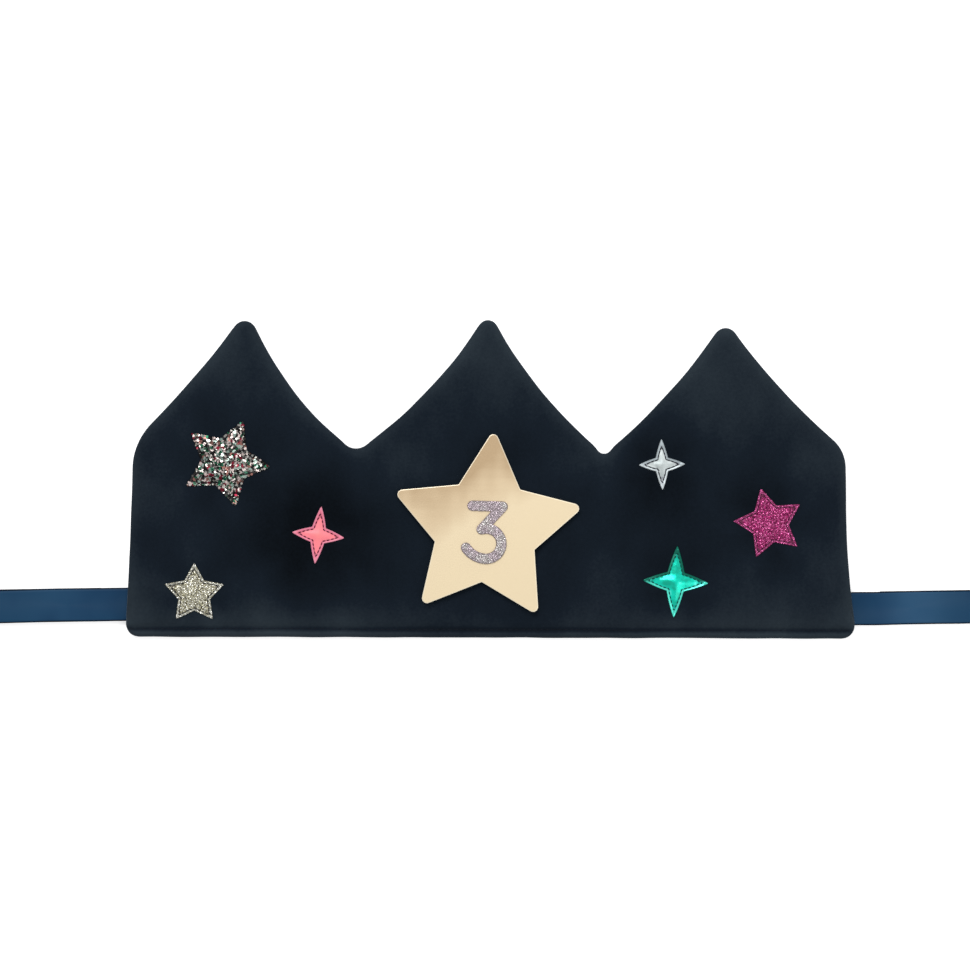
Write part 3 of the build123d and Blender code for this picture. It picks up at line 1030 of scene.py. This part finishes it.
for node, look in sheetLooks.items():
    sheet, topPoints, topFaces = applique(node, plans[node], look["sheet"])
    place(sheet, look["slot"], node)
    sewnThread(node, plans[node])
    if "glitter" in look:
        gaps = edgeGap(topPoints[:, :2], plans[node]["loop"])
        cover = glitter(node + "_glitter", topPoints, topFaces, gaps, look["flakes"], look["glitter"])
        place(cover, look["slot"])
print("appliques sewn on")


# Topstitching along the hem, front and back

hemThread = {"Pitch": 2.9 * mm, "Length": 2.7 * mm, "Width": 0.32 * mm, "Thread": navyThread}
hemRow = {"end": 3, "step": 1.0, "sunk": 0.05}
hemReach = np.arange(hemLow.x + hemRow["end"], hemHigh.x - hemRow["end"], hemRow["step"])
hemPath = np.column_stack([hemReach, hemLine(hemReach)])
hemFront = velvetTop(hemPath) - hemRow["sunk"]
hemBack = surfaceOf(velvetBack, side=-1)(hemPath) + hemRow["sunk"]
stitchRow("hem_stitches", np.column_stack([hemPath, hemFront]), False, hemThread)
stitchRow("hem_stitches_back", np.column_stack([hemPath, hemBack]), False, hemThread)


# Wadding inside the bag

filling = {
    "edgeStep": 4.0, "net": 6.0, "inset": 0.8, "topGap": 0.6, "backGap": 0.4,
    "rings": ((0.0, 0.0), (0.4, 0.45), (1.0, 0.8), (1.6, 1.0)),  # inset and share of the rise
}
waddingFluff = fluffMaterial("whiteWadding", srgb(214, 212, 206), srgb(244, 243, 240), 260)


def waddingPad():
    low, high = (corner.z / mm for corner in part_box("wadding"))
    loop = insetLoop(evenLoop(nodeLoop("wadding"), filling["edgeStep"]), filling["inset"])
    insets, shares = zip(*filling["rings"])
    count = len(loop)
    flat, faces = ringCap(loop, insets, filling["net"])
    share = setRings(np.ones(len(flat)), count, shares)
    room = velvetTop(flat) - crown["fabric"] - filling["topGap"] - seamLevel
    top = np.column_stack([flat, seamLevel + np.minimum(high - seamLevel, room) * share])
    bottom = np.column_stack([flat, seamLevel - (seamLevel - low - filling["backGap"]) * share])[count:]
    faces = faces + underFaces(faces, count, len(flat) - count)
    return makePiece("waddingPad", np.vstack([top, bottom]), faces, waddingFluff)


wadding = place(waddingPad(), "wadding", "wadding")


# Number star on its fastener patches

star = {
    "edgeStep": 1.4, "net": 2.6, "sharp": 50,
    "rings": (  # inset and share of the thickness
        (0.1, 0.0), (0.0, 0.1), (0.0, 0.86), (0.06, 0.95), (0.2, 1.0), (0.5, 1.0)),
    "droop": 0.5, "droopReach": 48,  # tips bend down
    "waves": ((0.25, 40, 5.7),),
}
digit = {
    "edgeStep": 0.8, "net": 1.3, "sharp": 55, "sunk": 0.05,
    "rings": ((0.0, 0.0), (0.0, 0.6), (0.15, 0.9), (0.4, 1.0)),
    "thick": 0.85,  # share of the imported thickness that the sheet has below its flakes
    "grains": {
        **fineGlitter, "Flake Size": 0.5 * mm, "Density": 13e6, "Tilt": 0.55, "Clear": 0.0, "Seed": 31},
}
goldLeather = goldMaterial()


def numberStar():
    low, high = (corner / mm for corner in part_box("number_star"))
    middle = (low + high) / 2
    loop = evenLoop(nodeLoop("number_star"), star["edgeStep"])
    insets, shares = zip(*star["rings"])
    thick = high.z - low.z

    def bend(flat):
        out = np.hypot(flat[:, 0] - middle.x, flat[:, 1] - middle.y)
        return ripples(flat, star["waves"]) - star["droop"] * (out / star["droopReach"]) ** 2

    def rise(flat):
        return low.z + thick * setRings(np.ones(len(flat)), len(loop), shares) + bend(flat)

    def under(flat):
        return low.z + bend(flat)

    points, faces, topCount = closedPlate(loop, insets, star["net"], rise, under)
    piece = makePiece("goldNumberStar", points, faces, goldLeather, sharp=star["sharp"])
    storeValues(piece, "edgeGap", edgeGap(points[:, :2], loop))
    return place(piece, "gold_leatherette", "number_star")


starTop = surfaceOf(numberStar())


def numeral():
    low, high = (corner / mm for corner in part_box("numeral_three"))
    loop = evenLoop(nodeLoop("numeral_three"), digit["edgeStep"])
    count = len(loop)
    insets, shares = zip(*digit["rings"])
    thick = high.z - low.z

    def under(flat):
        return starTop(flat) - digit["sunk"]

    def rise(flat):
        return under(flat) + thick * digit["thick"] * setRings(np.ones(len(flat)), count, shares)

    points, faces, topCount = closedPlate(loop, insets, digit["net"], rise, under)
    backing = backingMaterial("lilacBacking", srgb(140, 128, 130), sewn=False)
    sheet = makePiece("numeralThree", points, faces, backing, sharp=digit["sharp"])
    place(sheet, "lilac_glitter", "numeral_three")
    topFaces = [face for face in faces if max(face) < topCount and min(face) >= 2 * count]
    # darker border: the cut edge, partly painted shadow of the numeral's thickness
    flakes = flakeMaterial("lilacFlakes", (
        (0.0, srgb(190, 186, 183)), (0.38, srgb(176, 171, 168)), (0.62, srgb(200, 197, 194)),
        (0.84, srgb(174, 164, 165)), (0.93, srgb(216, 214, 212))),
        border=srgb(112, 94, 100), reach=0.4, drift=srgb(176, 156, 170))
    gaps = edgeGap(points[:topCount, :2], loop)
    cover = glitter("numeral_glitter", points[:topCount], topFaces, gaps, flakes, digit["grains"])
    place(cover, "lilac_glitter")


numeral()

tapes = {
    "loop_patch": fluffMaterial("loopTape", srgb(14, 18, 30), srgb(44, 50, 66), 1400),
    "hook_patch": fluffMaterial("hookTape", srgb(20, 22, 30), srgb(58, 62, 74), 900),
}
for node, tape in tapes.items():
    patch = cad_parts[node]
    patch.data.materials.clear()
    patch.data.materials.append(tape)
print("number star placed")


# Ribbon ties

ribbon = {
    "width": 16.0, "sewnIn": 10.0, "layers": 6,
    "packed": 0.4, "thickness": 0.3,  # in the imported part, and here
    "across": 10, "step": 1.6, "foldSteps": 6,
    "wave": 0.4, "waveLeast": 0.6, "waveSize": 24, "waveAcross": 30,  # ripples of the part that shows
    "waveFrom": 12,  # they begin this far from the crown
    "drift": 0.35, "driftSize": 30, "driftSeed": 4,  # sideways wander
    "bend": 28.0, "bendReach": 15.0,  # where a painted sheen lies along the tie
    "weave": 0.01,  # weave map for each mm along
}
satin = satinMaterial()


def ribbonRun(node):
    # ends of the middle line of the uppermost layer, and the fold nearest the crown
    low, high = (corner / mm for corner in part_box(node))
    points = np.array([v.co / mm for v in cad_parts[node].data.vertices])
    upper = points[abs(points[:, 2] - high.z) < fine]
    side = 1 if high.x > 0 else -1
    order = upper[:, 0] * side
    sewn = upper[order < order.min() + 1].mean(0)
    outer = upper[order > order.max() - 1].mean(0)
    lower = points[points[:, 2] < high.z - 1]
    inner = (lower[:, 0] * side).min()
    return sewn, outer, inner * side, low, high


def ribbonPath(sewn, outer, inner, low, high):
    # distance along the tie's line from its sewn end, height and layer, fold by fold
    thick = ribbon["packed"]
    layers = ribbon["layers"]
    pitch = (high.z - low.z - thick) / (layers - 1)
    far = np.linalg.norm(outer[:2] - sewn[:2])
    near = abs(inner - sewn[0]) + pitch
    path = []
    for layer in range(layers):
        level = high.z - thick / 2 - layer * pitch
        start = near if layer else 0.0
        run = np.linspace(start, far, int((far - start) / ribbon["step"]))
        outward = layer % 2 == 0
        path += [(s, level, layer) for s in (run if outward else run[::-1])]
        if layer + 1 < layers:
            end, way = (far, 1) if outward else (near, -1)
            for step in range(1, ribbon["foldSteps"]):
                angle = math.pi * step / ribbon["foldSteps"]
                reach = end + way * pitch / 2 * math.sin(angle)
                path.append((reach, level - pitch / 2 * (1 - math.cos(angle)), layer))
    return np.array(path)


def ribbonTie(node, seed, shine):
    sewn, outer, inner, low, high = ribbonRun(node)
    path = ribbonPath(sewn, outer, inner, low, high)
    ahead = (outer - sewn)[:2]
    ahead = ahead / np.linalg.norm(ahead)
    across = np.array([-ahead[1], ahead[0]])
    columns = ribbon["across"]
    wide = columns + 1
    points = []
    for reach, level, layer in path:
        free = softStep((reach - ribbon["sewnIn"]) / ribbon["waveFrom"]) * (layer == 0)
        drift = ribbon["drift"] * ripple(reach, 0, ribbon["driftSize"], seed + ribbon["driftSeed"]) * free
        for column in range(wide):
            v = column / columns - 0.5
            swell = ripple(reach, ribbon["waveAcross"] * v, ribbon["waveSize"], seed)
            lift = ribbon["wave"] * free * (ribbon["waveLeast"] + swell)
            flat = sewn[:2] + ahead * reach + across * v * ribbon["width"] + across * drift
            points.append((flat[0], flat[1], level + max(lift, 0)))
    faces = []
    for row in range(len(path) - 1):
        for column in range(columns):
            i = row * wide + column
            faces.append([i, i + 1, i + 1 + wide, i + wide])
    tie = makePiece(node + "_tie", points, faces, satin)
    # painted sheen along the tie, as strong as shine
    bend = bell((path[:, 0] - ribbon["sewnIn"] - ribbon["bend"]) / ribbon["bendReach"])
    storeValues(tie, "paintedBendSheen", np.repeat(shine * bend, wide))
    along = np.append(0, np.cumsum(np.linalg.norm(np.diff(path[:, :2], axis=0), axis=1)))
    weave = tie.data.uv_layers.new(name="ribbonWeave")
    for loop in tie.data.loops:
        row, column = divmod(loop.vertex_index, wide)
        weave.data[loop.index].uv = (along[row] * ribbon["weave"], column / columns)
    wall = tie.modifiers.new("ribbon", "SOLIDIFY")
    wall.thickness = ribbon["thickness"] * mm
    wall.offset = 0
    finishMesh(tie)
    place(tie, "satin_ribbon", node)
    ribbon["width"] * mm
    along[-1] * mm
    print(node, "length", along[-1].round(1))


ribbonTie("left_ribbon", 2.3, shine=0.1)
ribbonTie("right_ribbon", 6.9, shine=0.38)


# Floor, light and camera

stageLook = {
    "floor": 40.0, "drop": 0.0004,  # floor just below the crown
    "white": 0.86, "glow": 0.58, "world": 0.5,
    "lights": {  # place, size and power
        "softbox": ((-0.3, 0.8, 1.15), 0.9, 14), "fill": ((0.9, -0.5, 1.0), 1.2, 5)},
}


def makeFloor():
    half = stageLook["floor"] / 2 / mm
    corners = [(-half, -half, 0), (half, -half, 0), (half, half, 0), (-half, half, 0)]
    floor = makePiece("floor", corners, [[0, 1, 2, 3]])
    floor.location.z = -stageLook["drop"]
    material = bpy.data.materials.new("whiteFloor")
    material.use_nodes = True
    tree = material.node_tree
    tree.nodes.clear()
    matt = add(tree, "ShaderNodeBsdfDiffuse", {"Color": grey(stageLook["white"])})
    rays = add(tree, "ShaderNodeLightPath").outputs
    seen = math2(tree, "ADD", rays["Is Camera Ray"], rays["Is Glossy Ray"])
    seen = math2(tree, "ADD", seen, rays["Is Transmission Ray"])
    strength = math2(tree, "MULTIPLY", seen, stageLook["glow"])
    glow = add(tree, "ShaderNodeEmission", {"Color": grey(1), "Strength": strength})
    both = add(tree, "ShaderNodeAddShader", {0: matt.outputs[0], 1: glow.outputs[0]})
    add(tree, "ShaderNodeOutputMaterial", {"Surface": both.outputs[0]})
    floor.data.materials.append(material)


def makeLight(name, spot, size, power):
    data = bpy.data.lights.new(name, "AREA")
    data.shape = "DISK"
    data.size = size
    data.energy = power
    light = bpy.data.objects.new(name, data)
    light.location = spot
    light.rotation_euler = (-Vector(spot)).to_track_quat("-Z", "Y").to_euler()
    scene.collection.objects.link(light)


def makeWorld():
    world = bpy.data.worlds.new("studio")
    world.use_nodes = True
    background = world.node_tree.nodes["Background"]
    background.inputs["Color"].default_value = grey(1)
    background.inputs["Strength"].default_value = stageLook["world"]
    scene.world = world


photo = {
    "size": (970, 971), "width": 464.75,  # mm across the picture at the velvet
    "centre": (-2.98, -3.20), "level": 4.5, "turn": 0.1805, "lens": 100.0, "sensor": 36.0,
}


def makeCamera():
    data = bpy.data.cameras.new("overhead")
    data.lens = photo["lens"]
    data.sensor_width = photo["sensor"]
    across, up = photo["size"]
    tall = photo["width"] * up / across
    away = tall * photo["lens"] / photo["sensor"]
    camera = bpy.data.objects.new("overhead", data)
    camera.location = Vector((*photo["centre"], photo["level"] + away)) * mm
    camera.rotation_euler = (0, 0, math.radians(photo["turn"]))
    scene.collection.objects.link(camera)
    scene.camera = camera


makeFloor()
makeWorld()
for name, (spot, size, power) in stageLook["lights"].items():
    makeLight(name, spot, size, power)
makeCamera()
scene.view_settings.view_transform = "Standard"
